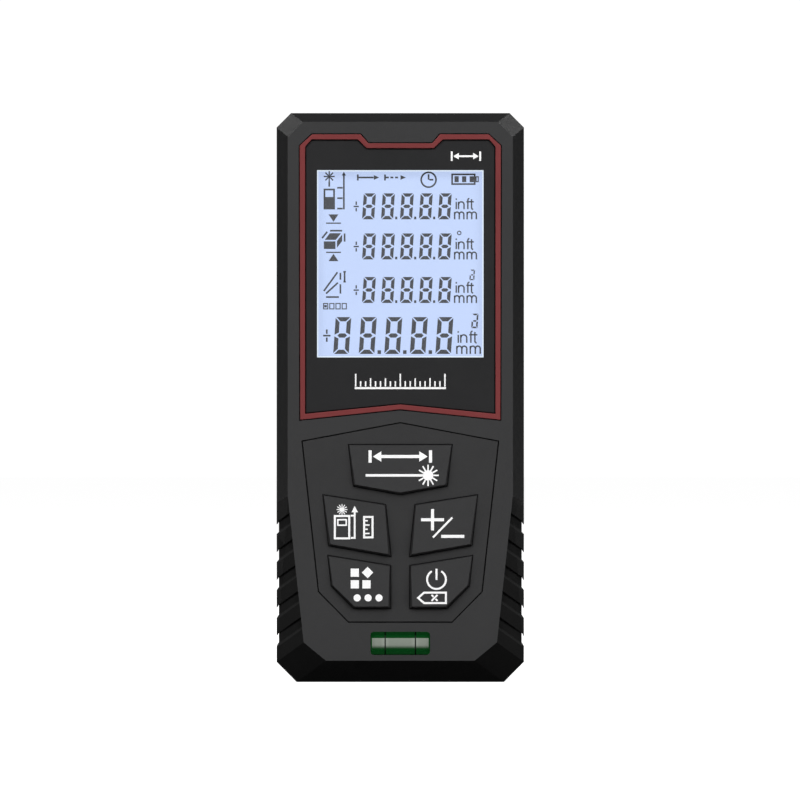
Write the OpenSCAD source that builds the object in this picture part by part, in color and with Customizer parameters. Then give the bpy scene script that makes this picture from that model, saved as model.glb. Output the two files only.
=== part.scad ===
// Handheld laser distance meter, standing on its rear measuring end.
// X is the width, Y the depth with the keys towards -Y, Z the length with the laser end up.
// The origin is the centre of the end face that it stands on.

/* [Case] */
// Width of the case
case_w = 50; // [49:0.5:54]
// Length of the case
case_h = 115; // [114:0.5:118]
// Depth from the key tops to the back face
case_d = 26; // [26:0.5:28]
// Width of the bevel beside the front and back faces
side_bevel = 2.3; // [1.8:0.1:2.6]
// Depth of the bevels
bevel_d = 3; // [2.4:0.1:3.4]
// Size of the clipped corners at the laser end
top_clip = 2.9; // [2:0.1:3.4]
// Size of the clipped corners at the base
base_clip = 4.05; // [3:0.05:4.5]
// Thickness of the front wall
front_wall = 1.8; // [1.6:0.1:2]

/* [Grips] */
// Height where the front face starts to narrow between the grips
grip_top = 37.6; // [36:0.2:38]
// Number of grooves in each grip
groove_count = 5; // [3:1:5]
// Distance from one groove to the next
groove_pitch = 5.66; // [5:0.02:5.8]
// Height of a groove, measured along the side
groove_h = 2.4; // [1.2:0.1:3]
// Depth of a groove
groove_d = 0.45; // [0.2:0.05:0.6]
// How far the upper end of a groove is clipped at the side
groove_clip = 0.5; // [0.3:0.1:0.8]
// Height of the deep slit under a groove's upper edge
slit_h = 0.4; // [0.2:0.05:0.6]
// Slope of the grooves below level
groove_slope = 36; // [20:1:40]

/* [Keys] */
// How far the lower edge of a key stands above the front face
key_proud = 0.8; // [0.4:0.1:1]
// How far the upper edge of a key stands above the front face
key_top_proud = 0.15; // [0.1:0.05:0.3]
// Travel of a key
key_travel = 0.5; // [0.3:0.1:0.5]
// Gap between the keypad panel and the front cover
keypad_gap = 0.25; // [0.15:0.05:0.3]
// Gap between a key and the keypad panel
key_gap = 0.2; // [0.15:0.05:0.25]
// How much a key widens for each millimetre of depth
key_draft = 0.45; // [0.2:0.05:0.5]
// Width of the flange that keeps a key in
key_flange = 0.75; // [0.6:0.05:0.85]

/* [Display] */
// Width of the visible display
view_w = 33.6; // [30:0.2:34]
// Bottom of the visible display
view_z0 = 65.6; // [64.5:0.1:66]
// Top of the visible display
view_z1 = 103.4; // [100:0.2:103.6]
// Gap round the trim ring and the display window
inlay_gap = 0.2; // [0.15:0.05:0.25]

/* [Optics] */
// Radius of the receiver lens
lens_r = 7; // [6:0.1:7]
// Thickness of the receiver lens in its middle
lens_t = 2.4; // [2:0.1:2.6]
// Radius of the laser barrel
barrel_r = 3.2; // [2.8:0.1:3.4]

/* [Batteries] */
// Radius of an AAA cell
cell_r = 5.2; // [5:0.05:5.25]
// Length of an AAA cell with its button
cell_l = 44.5; // [44:0.1:44.5]

/* [Vial] */
// Outer radius of the vial
vial_r = 2.3; // [2:0.05:2.3]
// Length of the vial tube
vial_l = 11.9; // [11:0.1:11.9]
// Distance of the vial lines from the middle
vial_line_x = 3.05; // [2.5:0.05:3.2]

/* [Hidden] */
$fn = 48;

// Depths, from the key tops to the back face
back_y = case_d / 2;
key_y = -case_d / 2;
front_y = key_y + key_proud;
wall_y = front_y + front_wall;
split_y = 0;
eps = 0.01;
clearance = 0.1;
panel_t = 1.1;
panel_y = front_y + panel_t;
flange_y = wall_y + clearance;
flange_t = 0.7;
key_lip_y = panel_y - key_travel - clearance;
ring_proud = 0.15;
bezel_sunk = 0.25;
lens_sunk = 0.45;
lens_lip = 0.6;
lens_lip_t = 0.4;
lcd_y = wall_y + 2 * clearance;
lcd_t = 1.1;
backlight_t = 1.4;
board_y = lcd_y + lcd_t + backlight_t + clearance;
board_t = 1.2;
board_back_y = board_y + board_t;
dome_h = 0.3;
plunger_y = board_y - dome_h - key_travel - clearance;

// The middle height of the first groove at the side, and how far a slit stops short of the side
groove_z = grip_top - 6.5;
slit_setback = 0.6;

// Outlines, each as the points of its right half from top to bottom, as [x, z]
half_w = case_w / 2;
face_x = half_w - side_bevel;
face_top = case_h - 1.9;
face_low = 4.4;
silhouette_half = [
    [half_w - top_clip, case_h], [half_w, case_h - top_clip], [half_w, base_clip],
    [half_w - base_clip, 0]
];
face_half = [
    [face_x - 3, face_top], [face_x, face_top - 3], [face_x, grip_top],
    [face_x - 3.2, face_low + 3.7], [face_x - 7.7, face_low]
];
cavity_half = [
    [half_w - 5.4, case_h - 2.5], [half_w - 2.6, case_h - 5.3], [half_w - 2.6, grip_top + 2.4],
    [face_x - 1.9, grip_top - 0.6], [face_x - 4.9, face_low + 5], [face_x - 8.3, face_low + 1.8]
];
ring_outer_half = [[6.45, 108.8], [8, 110.6], [17.8, 110.6], [20.3, 108.3], [20.2, 53], [0, 55.1]];
ring_inner_half = [[6.75, 107.8], [8.6, 109.6], [17.9, 109.6], [19.2, 108.1], [19.2, 54.2], [0, 56.1]];
keypad_half = [[0, 52.3], [19.7, 48.6], [16.4, 18.4], [10.4, 12.3]];
measure_half = [[10.35, 47.9], [9.35, 39.7], [0, 38]];
side_key_points = [[15.5, 37.75], [14.35, 27.7], [2, 25.5], [3.05, 35.8]];
lower_key_points = [[14.5, 25.5], [13.8, 19.5], [9.35, 15], [2.05, 15], [2.05, 23.5]];
board_half = [[20.3, 106.4], [20.3, 41], [16.2, 13.2]];

// Places and sizes of the inner pieces
key_centres = [[0, 43.2], [-8.7, 31.7], [8.7, 31.7], [-7.8, 20.2], [7.8, 20.2]];
key_levels = [[38, 47.9], [25.5, 37.75], [25.5, 37.75], [15, 25.5], [15, 25.5]];
screw_places = [[-20, 109.2], [20, 109.2], [-14.3, 9.3], [14.3, 9.3]];
board_screw_places = [[-18.3, 58], [18.3, 58], [-14.5, 15.8], [14.5, 15.8]];
lcd_w = view_w + 3.2;
lcd_z0 = view_z0 - 1.2;
lcd_z1 = view_z1 + 1.8;
lcd_ledge_z = lcd_z0 - 2.2;
light_w = lcd_w + 0.4;
ribbon_w = 12;
ribbon_t = 0.2;
ribbon_y = lcd_y + lcd_t / 2;
ribbon_foot_z = lcd_ledge_z - 6.8;
screw_r = 0.95;
screw_head_r = 1.9;
screw_head_t = 1.3;
screw_seat_y = back_y - 2.6;
screw_face_y = screw_seat_y + screw_head_t;
screw_gap = 0.15;
pilot_y = wall_y + 0.6;
screw_tip_y = wall_y + 1.2;
cross_l = 2.8;
cross_w = 0.55;
cross_d = 0.7;
boss_r = 2.3;
rear_boss_r = boss_r + 0.2;
board_screw_r = 0.7;
board_screw_head_r = 1.4;
standoff_r = 1.5;
plunger_r = 1.5;
dome_r = 2.4;
receiver_x = 6.2;
laser_x = -8.6;
optics_y = 2.3;
buzzer_x = 11.5;
buzzer_z = 62;
buzzer_t = 2.2;
chip_t = 1.1;
sensor_z = 84.4;
sensor_t = 1.2;
sensor_front_z = sensor_z + sensor_t;
optics_z0 = sensor_front_z + 0.4;
lens_z = 106;
optics_z1 = lens_z + 3;
optics_half_d = 7.6;
lens_bulge_r = 16;
barrel_z0 = 89;
barrel_z1 = 110.4;
barrel_wall = 0.7;
collimator_z = 108.4;
diode_z = 96;
pin_r = 0.22;
pin_ring_r = 0.9;
photodiode_r = 2.2;
can_wall = 0.3;
end_z0 = case_h - 4;
end_half_w = 16.4;
end_half_d = 7.9;
end_glass_z = case_h - 1.6;
end_glass_half_w = 15;
end_glass_half_d = 6.6;
vial_z = 7.9;
vial_gap = 0.05;
vial_y = front_y + vial_r + vial_gap;
vial_bore_r = vial_r - 0.55;
vial_wall = 0.6;
vial_corner_r = 0.7;
vial_line_t = 0.26;
cradle_x = 7.6;
cradle_y1 = -7;
plug_l = 1.8;
plug_x = vial_l / 2 - 0.8;
bubble_half_l = 2.1;
bubble_drift = 1.4;
bubble_r = 0.95;
bubble_rise = 0.65;
door_t = 1.6;
door_x = 12.85;
door_gap = 0.15;
door_rib_count = 4;
door_rib_pitch = 1.6;
door_rib_h = 0.8;
door_rib_w = 12;
foam_t = 0.5;
door_z0 = 12.1;
door_hinge_z = 62;
door_y = back_y - door_t;
cell_x = cell_r + 0.4;
cell_y = door_y - foam_t - clearance - cell_r;
bay_x = 12;
bay_z0 = 13.2;
bay_z1 = 60.3;
bay_wall = 1.2;
wire_slot_w = 3;
plate_t = 0.3;
spring_h = bay_z1 - bay_z0 - 2 * plate_t - cell_l;
label_w = 32;
label_z0 = 72;
label_z1 = 98;
label_sunk = 0.3;
label_t = 0.2;
label_corner_r = 1.5;
lanyard_x = -11.6;
lanyard_y = back_y - 3.3;
lanyard_z = 1.9;
lanyard_r = 0.8;
lanyard_l = 6.4;

// The whole closed outline, from the points of its right half
function both_sides(half) = concat(
    half,
    [for (i = [len(half) - 1 : -1 : 0]) if (half[i][0] > 0) [-half[i][0], half[i][1]]]
);

// A slab between two depths, from a shape drawn as [x, z]
module slab(y0, y1) {
    translate([0, y1, 0])
        rotate([90, 0, 0])
            linear_extrude(y1 - y0)
                children();
}

// A box from its lowest to its highest corner
module block(low, high) {
    translate(low)
        cube(high - low);
}

// A round bar along Y between two depths
module bar_y(x, z, r, y0, y1) {
    translate([x, y1, z])
        rotate([90, 0, 0])
            cylinder(r = r, h = y1 - y0);
}

// A round bar along Z between two heights
module bar_z(x, y, r, z0, z1) {
    translate([x, y, z0])
        cylinder(r = r, h = z1 - z0);
}

// A round bar along X between two ends
module bar_x(y, z, r, x0, x1) {
    translate([x0, y, z])
        rotate([0, 90, 0])
            cylinder(r = r, h = x1 - x0);
}

// The outer form of the whole case, drawn in by a distance
module envelope(inset = 0) {
    hull() {
        slab(front_y + inset, front_y + inset + eps)
            offset(delta = -inset * 0.6)
                polygon(both_sides(face_half));
        slab(front_y + bevel_d, back_y - bevel_d)
            offset(delta = -inset)
                polygon(both_sides(silhouette_half));
        slab(back_y - inset - eps, back_y - inset)
            offset(delta = -inset * 0.6)
                polygon(both_sides(face_half));
    }
}

// The rubber zone beside the narrowing face, on the right
module grip_zone() {
    slab(key_y, back_y + 1)
        polygon([
            face_half[2], [half_w + 1, grip_top - 2], [half_w + 1, base_clip - 0.7],
            [half_w, base_clip], face_half[3]
        ]);
}

// The rubber zone round the base
module base_zone() {
    slab(key_y, back_y + 1)
        polygon(both_sides([
            face_half[4], face_half[3], [half_w, base_clip],
            [half_w + 1, base_clip - 0.7], [half_w + 1, -1]
        ]));
}

// The stub of the covers that the base bumper grips
module base_core() {
    block([-17.5, front_y + 3.7, 1.8], [17.5, back_y - 4.3, face_low + 0.4]);
}

// The slot in the base where a wrist cord passes round its bar
module lanyard_slot() {
    block([lanyard_x - 1.9, lanyard_y - 3.7, -1], [lanyard_x + 1.9, back_y + 1, 4.2]);
}

// The opening in the laser end that the end bezel fills
module end_opening(gap = 0) {
    block(
        [-end_half_w - clearance - gap, optics_y - end_half_d - clearance - gap, end_z0],
        [end_half_w + clearance + gap, optics_y + end_half_d + clearance + gap, case_h + 1]
    );
}

// The outline of one key, told apart by its number
module key_outline(i) {
    side = key_centres[i][0] < 0 ? -1 : 1;
    points = i == 0 ? both_sides(measure_half) : i < 3 ? side_key_points : lower_key_points;
    scale([side, 1])
        polygon(points);
}

// The sides of one key down to its lip, which meet the front face at its outline
module drafted_key(i, gap = 0) {
    hull()
        for (y = [key_y, key_lip_y])
            slab(y, y + eps)
                offset(delta = gap + (y - front_y) * key_draft)
                    key_outline(i);
}

// A key with its sloped cap, the lip that hides its gap, its retaining flange and its plunger
module key(i) {
    low = key_levels[i][0];
    high = key_levels[i][1];
    intersection() {
        drafted_key(i);
        slab_x(-half_w, half_w)
            polygon([
                [key_y, low - 1], [key_y, low + key_proud * key_draft], [front_y - key_top_proud, high],
                [front_y - key_top_proud, high + 1], [0, high + 1], [0, low - 1]
            ]);
    }
    slab(key_lip_y - eps, flange_y + eps)
        key_outline(i);
    slab(flange_y, flange_y + flange_t)
        offset(delta = key_flange)
            key_outline(i);
    bar_y(key_centres[i][0], key_centres[i][1], plunger_r, flange_y, plunger_y);
}

// The visible display's rectangle, grown by a distance
module view_area(grow = 0) {
    square_between(
        [-view_w / 2 - grow, view_z0 - grow],
        [view_w / 2 + grow, view_z1 + grow]
    );
}

// The rounded window over the vial and the pocket behind it
module vial_openings() {
    inset = vial_corner_r - vial_gap;
    slab(key_y, wall_y + 1)
        offset(r = vial_corner_r)
            square_between(
                [-vial_l / 2 + inset, vial_z - vial_r + inset],
                [vial_l / 2 - inset, vial_z + vial_r - inset]
            );
    block(
        [-cradle_x - clearance, front_y + vial_wall, vial_z - vial_r - vial_gap],
        [cradle_x + clearance, cradle_y1, vial_z + vial_r + vial_gap]
    );
}

// The cover in front of the split
module front_cover() {
    color("#3b3b3b")
        difference() {
            union() {
                difference() {
                    intersection() {
                        envelope();
                        block([-half_w, key_y, 0], [half_w, split_y, case_h]);
                    }
                    grip_zone();
                    mirror([1, 0, 0])
                        grip_zone();
                    difference() {
                        base_zone();
                        base_core();
                    }
                    slab(wall_y, split_y + 1)
                        polygon(both_sides(cavity_half));
                }
                for (place = screw_places)
                    bar_y(place[0], place[1], boss_r, wall_y - eps, split_y);
                for (place = board_screw_places)
                    bar_y(place[0], place[1], standoff_r, wall_y - eps, board_y);
            }
            slab(key_y, panel_y + clearance)
                offset(delta = inlay_gap)
                    polygon(both_sides(ring_outer_half));
            slab(key_y, wall_y + 1)
                view_area(lens_lip + inlay_gap);
            slab(key_y, panel_y)
                offset(delta = keypad_gap)
                    polygon(both_sides(keypad_half));
            for (i = [0:4])
                slab(key_y, wall_y + 1)
                    offset(delta = key_gap + clearance)
                        key_outline(i);
            vial_openings();
            for (place = screw_places)
                bar_y(place[0], place[1], screw_r, pilot_y, split_y + 1);
            for (place = board_screw_places)
                bar_y(place[0], place[1], board_screw_r, pilot_y, board_y + 1);
            seal_ring(0);
            end_opening();
        }
}

// A flat rectangle between two corners
module square_between(low, high) {
    translate(low)
        square(high - low);
}

// The ring that seals the split, or the groove for it
module seal_ring(gap) {
    difference() {
        slab(split_y - 0.4 - gap, split_y + 0.4 + gap)
            difference() {
                offset(delta = 1.1 + gap)
                    polygon(both_sides(cavity_half));
                offset(delta = 0.5 - gap)
                    polygon(both_sides(cavity_half));
            }
        end_opening(0.5);
    }
}

// The cover behind the split, with the battery bay
module rear_cover() {
    color("#262626")
        difference() {
            union() {
                difference() {
                    intersection() {
                        envelope();
                        block([-half_w, split_y, 0], [half_w, back_y, case_h]);
                    }
                    grip_zone();
                    mirror([1, 0, 0])
                        grip_zone();
                    difference() {
                        base_zone();
                        base_core();
                    }
                    slab(split_y - 1, back_y - front_wall)
                        polygon(both_sides(cavity_half));
                }
                for (place = screw_places)
                    bar_y(place[0], place[1], rear_boss_r, split_y, back_y - 1);
                block(
                    [-bay_x - bay_wall, split_y - 0.8, bay_z0 - bay_wall],
                    [bay_x + bay_wall, door_y, bay_z1 + 2.8]
                );
            }
            block([-bay_x, 0, bay_z0], [bay_x, back_y, bay_z1]);
            block(
                [-door_x - door_gap, door_y, door_z0 - door_gap],
                [door_x + door_gap, back_y + 1, door_hinge_z + 1]
            );
            for (place = screw_places) {
                bar_y(place[0], place[1], screw_r + screw_gap, split_y - 1, back_y + 1);
                bar_y(place[0], place[1], screw_head_r + 2 * clearance, screw_seat_y, back_y + 1);
            }
            rear_label_area(clearance);
            seal_ring(0);
            end_opening();
            lanyard_slot();
            block([-wire_slot_w / 2, 0, bay_z1 - eps], [wire_slot_w / 2, 1, bay_z1 + 4]);
        }
}

// The sloping bands that the grooves cut, as high as given, with their upper ends clipped
module groove_bands(h, clip = 0) {
    run = side_bevel + 4;
    for (i = [0:groove_count - 1])
        translate([half_w, 0, groove_z + groove_h / 2 - i * groove_pitch])
            slab(key_y - 1, back_y + 1)
                polygon([
                    [1, -h], [1, -clip], [0, -clip], if (clip > 0) [-clip, clip * tan(groove_slope)],
                    [-run, run * tan(groove_slope)], [-run, run * tan(groove_slope) - h], [0, -h]
                ]);
}

// One ribbed grip, moulded over the covers on the right
module grip() {
    intersection() {
        grip_zone();
        difference() {
            union() {
                envelope(groove_d);
                difference() {
                    envelope();
                    groove_bands(groove_h, groove_clip);
                }
            }
            difference() {
                groove_bands(slit_h);
                envelope(2 * groove_d);
                slab(front_y + bevel_d - slit_setback, back_y - bevel_d + slit_setback)
                    square_between([0, 0], [half_w + 2, grip_top + 2]);
            }
        }
    }
}

// The grip on the left of the front face
module left_grip() {
    color("#151515")
        mirror([1, 0, 0])
            grip();
}

// The grip on the right of the front face
module right_grip() {
    color("#151515")
        grip();
}

// The rubber bumper that the meter stands on
module base_bumper() {
    color("#0a0a0a")
        difference() {
            intersection() {
                envelope();
                base_zone();
            }
            base_core();
            lanyard_slot();
            lanyard_bar();
        }
}

// The ring between the covers
module shell_seal() {
    color("#4a4a4a")
        seal_ring(0);
}

// The four screws that close the case, entered from the back
module case_screws() {
    color("silver")
        for (place = screw_places)
            difference() {
                union() {
                    bar_y(place[0], place[1], screw_r, screw_tip_y, screw_seat_y);
                    bar_y(place[0], place[1], screw_head_r, screw_seat_y, screw_face_y);
                }
                for (turn = [0, 90])
                    translate([place[0], 0, place[1]])
                        rotate([0, turn, 0])
                            block(
                                [-cross_l / 2, screw_face_y - cross_d, -cross_w / 2],
                                [cross_l / 2, back_y, cross_w / 2]
                            );
            }
}

// The shallow field for the label on the back, grown by a distance
module rear_label_area(grow = 0) {
    slab(back_y - label_sunk, back_y + 1)
        offset(r = label_corner_r + grow)
            square_between(
                [-label_w / 2 + label_corner_r, label_z0 + label_corner_r],
                [label_w / 2 - label_corner_r, label_z1 - label_corner_r]
            );
}

// The blank label, laid in its field on the back
module rear_label() {
    color("#8c8c8c")
        intersection() {
            rear_label_area();
            slab(back_y - label_sunk, back_y - label_sunk + label_t)
                square_between([-half_w, 0], [half_w, case_h]);
        }
}

// The steel bar for a wrist cord
module lanyard_bar() {
    color("silver")
        bar_x(lanyard_y, lanyard_z, lanyard_r, lanyard_x - lanyard_l / 2, lanyard_x + lanyard_l / 2);
}

// The coloured line round the display panel
module trim_ring() {
    color("#833b3d")
        slab(front_y - ring_proud, panel_y)
            difference() {
                polygon(both_sides(ring_outer_half));
                polygon(both_sides(ring_inner_half));
            }
}

// The dark panel inside the trim ring, with the display's opening
module display_bezel() {
    color("#2f2f2f")
        slab(front_y + bezel_sunk, panel_y)
            difference() {
                offset(delta = -inlay_gap)
                    polygon(both_sides(ring_inner_half));
                view_area();
            }
}

// The clear pane in the bezel's opening, with a lip behind it
module display_lens() {
    color("lightblue", 0.3) {
        slab(front_y + lens_sunk, panel_y + eps)
            view_area(-clearance);
        slab(panel_y, panel_y + lens_lip_t)
            view_area(lens_lip);
    }
}

// The foam frame between the display and the front wall
module window_gasket() {
    color("#1c1c1c")
        slab(panel_y + lens_lip_t, lcd_y)
            difference() {
                view_area(lens_lip);
                view_area(clearance);
            }
}

// The display's glass, the rear sheet a little longer than the front one
module lcd_glass() {
    color("#c7d6f4") {
        slab(lcd_y, lcd_y + lcd_t / 2)
            square_between([-lcd_w / 2, lcd_z0], [lcd_w / 2, lcd_z1]);
        slab(lcd_y + lcd_t / 2, lcd_y + lcd_t)
            square_between([-lcd_w / 2, lcd_ledge_z], [lcd_w / 2, lcd_z1]);
    }
}

// The light guide behind the glass
module lcd_backlight() {
    color("white")
        slab(lcd_y + lcd_t, lcd_y + lcd_t + backlight_t)
            square_between([-light_w / 2, lcd_z0 - 1], [light_w / 2, lcd_z1 + 0.2]);
}

// The flat ribbon from the glass to the main board
module lcd_ribbon() {
    color("#b5762b")
        slab_x(-ribbon_w / 2, ribbon_w / 2)
            polygon([
                [ribbon_y - ribbon_t, lcd_ledge_z], [ribbon_y - ribbon_t, lcd_ledge_z - 2],
                [board_y - ribbon_t, ribbon_foot_z + 2.2], [board_y - ribbon_t, ribbon_foot_z],
                [board_y, ribbon_foot_z], [board_y, ribbon_foot_z + 2.3],
                [ribbon_y, lcd_ledge_z - 1.9], [ribbon_y, lcd_ledge_z]
            ]);
}

// A slab between two ends of X, from a shape drawn as [y, z]
module slab_x(x0, x1) {
    translate([x0, 0, 0])
        rotate([90, 0, 90])
            linear_extrude(x1 - x0)
                children();
}

// The inset panel that the keys stand in
module keypad_panel() {
    color("#3b3b3b")
        difference() {
            slab(front_y, panel_y)
                polygon(both_sides(keypad_half));
            for (i = [0:4]) {
                drafted_key(i, key_gap);
                slab(key_lip_y, panel_y + 1)
                    offset(delta = key_gap + (key_lip_y - front_y) * key_draft)
                        key_outline(i);
            }
        }
}

// The key that takes a measurement
module measure_key() {
    color("#3d3d3d")
        key(0);
}

// The key that picks the measuring end and the unit
module reference_key() {
    color("#3d3d3d")
        key(1);
}

// The key that adds and subtracts
module plus_minus_key() {
    color("#3d3d3d")
        key(2);
}

// The key that picks the function
module function_key() {
    color("#3d3d3d")
        key(3);
}

// The key for power and clearing
module power_key() {
    color("#3d3d3d")
        key(4);
}

// The click domes on the board, one under each key
module snap_domes() {
    color("silver")
        for (place = key_centres)
            translate([place[0], board_y, place[1]])
                rotate([90, 0, 0])
                    cylinder(r1 = dome_r, r2 = dome_r - 1, h = dome_h);
}

// The circuit board behind the display and the keys
module main_board() {
    color("#1d5c33")
        difference() {
            slab(board_y, board_back_y)
                polygon(both_sides(board_half));
            for (place = board_screw_places)
                bar_y(place[0], place[1], board_screw_r + screw_gap, board_y - 1, board_back_y + 1);
        }
}

// The packages on the back of the board
module board_chips() {
    // Each as its centre in X and Z and its half width and half height
    chips = [[-9, 74, 5, 5], [4, 76, 3.5, 2.5], [10, 70, 2, 3], [-2, 66, 2, 2.5], [-11, 64, 1.5, 1]];
    color("#202020")
        for (chip = chips)
            block(
                [chip[0] - chip[2], board_back_y, chip[1] - chip[3]],
                [chip[0] + chip[2], board_back_y + chip_t, chip[1] + chip[3]]
            );
}

// The screws that hold the board to the front cover
module board_screws() {
    color("silver")
        for (place = board_screw_places) {
            bar_y(place[0], place[1], board_screw_r, screw_tip_y, board_back_y);
            bar_y(place[0], place[1], board_screw_head_r, board_back_y, board_back_y + 0.9);
        }
}

// The sounder
module buzzer() {
    color("#151515")
        difference() {
            bar_y(buzzer_x, buzzer_z, 4, board_back_y, board_back_y + buzzer_t);
            bar_y(buzzer_x, buzzer_z, 0.8, board_back_y + buzzer_t - 0.8, board_back_y + buzzer_t + 1);
        }
}

// The block that holds the receiver lens and the laser barrel in line
module optics_block() {
    color("#303030")
        difference() {
            block(
                [-14.5, optics_y - optics_half_d, optics_z0],
                [15, optics_y + optics_half_d, optics_z1]
            );
            bar_z(receiver_x, optics_y, lens_r - 0.7, optics_z0 + 5, optics_z1 + 1);
            bar_z(receiver_x, optics_y, photodiode_r + clearance, optics_z0 - 1, optics_z0 + 6);
            bar_z(receiver_x, optics_y, lens_r, lens_z, optics_z1 + 1);
            bar_z(laser_x, optics_y, barrel_r, barrel_z0, optics_z1 + 1);
            bar_z(laser_x, optics_y, barrel_r / 2, optics_z0 - 1, barrel_z0 + 1);
        }
}

// The lens that gathers the returned light
module receiver_lens() {
    color("lightblue", 0.4)
        translate([receiver_x, optics_y, lens_z])
            intersection() {
                cylinder(r = lens_r, h = 3);
                translate([0, 0, lens_t - lens_bulge_r])
                    sphere(r = lens_bulge_r, $fn = 96);
            }
}

// The ring that keeps the receiver lens seated
module lens_retainer() {
    retainer_w = 0.8;
    edge_h = lens_t - lens_bulge_r + sqrt(pow(lens_bulge_r, 2) - pow(lens_r - retainer_w, 2));
    color("#1a1a1a")
        translate([receiver_x, optics_y, lens_z + edge_h + 0.02])
            difference() {
                cylinder(r = lens_r, h = 1.5);
                translate([0, 0, -1])
                    cylinder(r = lens_r - retainer_w, h = 4);
            }
}

// The tube that carries the laser and its lens
module laser_barrel() {
    color("goldenrod")
        difference() {
            bar_z(laser_x, optics_y, barrel_r, barrel_z0, barrel_z1);
            bar_z(laser_x, optics_y, barrel_r - barrel_wall, barrel_z0 - 1, diode_z + 0.5);
            bar_z(laser_x, optics_y, barrel_r - barrel_wall - 0.6, diode_z, collimator_z + 0.2);
            bar_z(laser_x, optics_y, barrel_r - barrel_wall, collimator_z, barrel_z1 + 1);
        }
}

// The small lens at the mouth of the laser barrel
module collimator_lens() {
    color("lightblue", 0.4)
        bar_z(laser_x, optics_y, barrel_r - barrel_wall, collimator_z, collimator_z + 1.5);
}

// The three pins of the laser, or the holes for them
module diode_pins(r, z0, z1) {
    for (turn = [0, 120, 240])
        bar_z(laser_x + pin_ring_r * cos(turn), optics_y + pin_ring_r * sin(turn), r, z0, z1);
}

// The laser's can and its three pins
module laser_diode() {
    color("goldenrod") {
        bar_z(laser_x, optics_y, barrel_r - barrel_wall, diode_z - 1.4, diode_z);
        bar_z(laser_x, optics_y, barrel_r - barrel_wall - 0.65, diode_z - eps, diode_z + 2.4);
        diode_pins(pin_r, sensor_front_z + clearance, diode_z - 1.3);
    }
}

// The crosswise board behind the optics
module sensor_board() {
    color("#1d5c33")
        difference() {
            block(
                [-13.5, optics_y - optics_half_d + 0.6, sensor_z],
                [14.5, optics_y + optics_half_d - 0.6, sensor_front_z]
            );
            diode_pins(pin_r + clearance, sensor_z - 1, optics_z0);
        }
}

// The sensor that times the returned light
module photodiode() {
    color("#8f8456") {
        bar_z(receiver_x, optics_y, photodiode_r, sensor_front_z, sensor_front_z + 0.8);
        bar_z(receiver_x, optics_y, photodiode_r - 0.5, sensor_front_z, sensor_front_z + 2.6);
    }
}

// The outer form of the tin cover, drawn in by its wall and then open towards the board
module shield_block(wall) {
    block(
        [receiver_x - 6 + wall, optics_y - 5.5 + wall, sensor_z - 3.8 + wall],
        [receiver_x + 6 - wall, optics_y + 5.5 - wall, sensor_z + wall]
    );
}

// The tin cover behind the sensor
module shield_can() {
    color("silver")
        difference() {
            shield_block(0);
            shield_block(can_wall);
        }
}

// The frame in the laser end, with the stepped window opening
module end_bezel() {
    color("#111111")
        difference() {
            union() {
                block(
                    [-end_half_w, optics_y - end_half_d, end_z0],
                    [end_half_w, optics_y + end_half_d, case_h - 0.3]
                );
                block(
                    [-end_half_w - 0.8, optics_y - end_half_d - 0.7, end_z0],
                    [end_half_w + 0.8, optics_y + end_half_d + 0.7, case_h - 2.6]
                );
            }
            end_glass_block(case_h + 1);
            bar_z(receiver_x, optics_y, lens_r - 0.8, end_z0 - 1, case_h);
            bar_z(laser_x, optics_y, barrel_r + 0.4, end_z0 - 1, case_h);
        }
}

// The window in the laser end, up to a height
module end_glass_block(top) {
    block(
        [-end_glass_half_w, optics_y - end_glass_half_d, end_glass_z],
        [end_glass_half_w, optics_y + end_glass_half_d, top]
    );
}

// The dark glass over the laser and the receiver
module end_glass() {
    color("#202030")
        end_glass_block(case_h - 0.5);
}

// A cell standing up, with its button at the top
module cell() {
    button_h = 1;
    button_r = 1.9;
    rim_w = 0.8;
    rim_h = 0.2;
    difference() {
        cylinder(r = cell_r, h = cell_l - button_h);
        translate([0, 0, -eps])
            cylinder(r = cell_r - rim_w, h = rim_h);
    }
    translate([0, 0, cell_l - button_h - eps])
        cylinder(r = button_r, h = button_h + eps);
}

// The cell on the left, button up
module battery_left() {
    color("#a8823c")
        translate([-cell_x, cell_y, bay_z1 - plate_t - cell_l])
            cell();
}

// The cell on the right, button down
module battery_right() {
    color("#a8823c")
        translate([cell_x, cell_y, bay_z0 + plate_t + cell_l])
            rotate([180, 0, 0])
                cell();
}

// A coiled spring that narrows towards the cell, as one swept tube
module coil_spring(height) {
    turns = 3;
    steps = 14;
    sides = 8;
    wire_r = 0.25;
    base_r = 2.6;
    tip_r = 1.6;
    count = turns * steps;
    points = [
        for (i = [0:count])
            for (k = [0:sides - 1])
                let (
                    angle = 360 * i / steps,
                    radius = base_r + (tip_r - base_r) * i / count + wire_r * cos(360 * k / sides),
                    level = wire_r + (height - 2 * wire_r) * i / count + wire_r * sin(360 * k / sides)
                )
                [radius * cos(angle), radius * sin(angle), level]
    ];
    walls = [
        for (i = [0:count - 1])
            for (k = [0:sides - 1])
                let (next = (k + 1) % sides, row = i * sides)
                [row + k, row + sides + k, row + sides + next, row + next]
    ];
    first_end = [for (k = [0:sides - 1]) k];
    last_end = [for (k = [sides - 1:-1:0]) count * sides + k];
    polyhedron(points = points, faces = concat(walls, [first_end, last_end]), convexity = 6);
}

// The spring under each cell's flat end
module battery_springs() {
    color("silver") {
        translate([-cell_x, cell_y, bay_z0 + plate_t])
            coil_spring(spring_h);
        translate([cell_x, cell_y, bay_z1 - plate_t])
            rotate([180, 0, 0])
                coil_spring(spring_h);
    }
}

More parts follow.
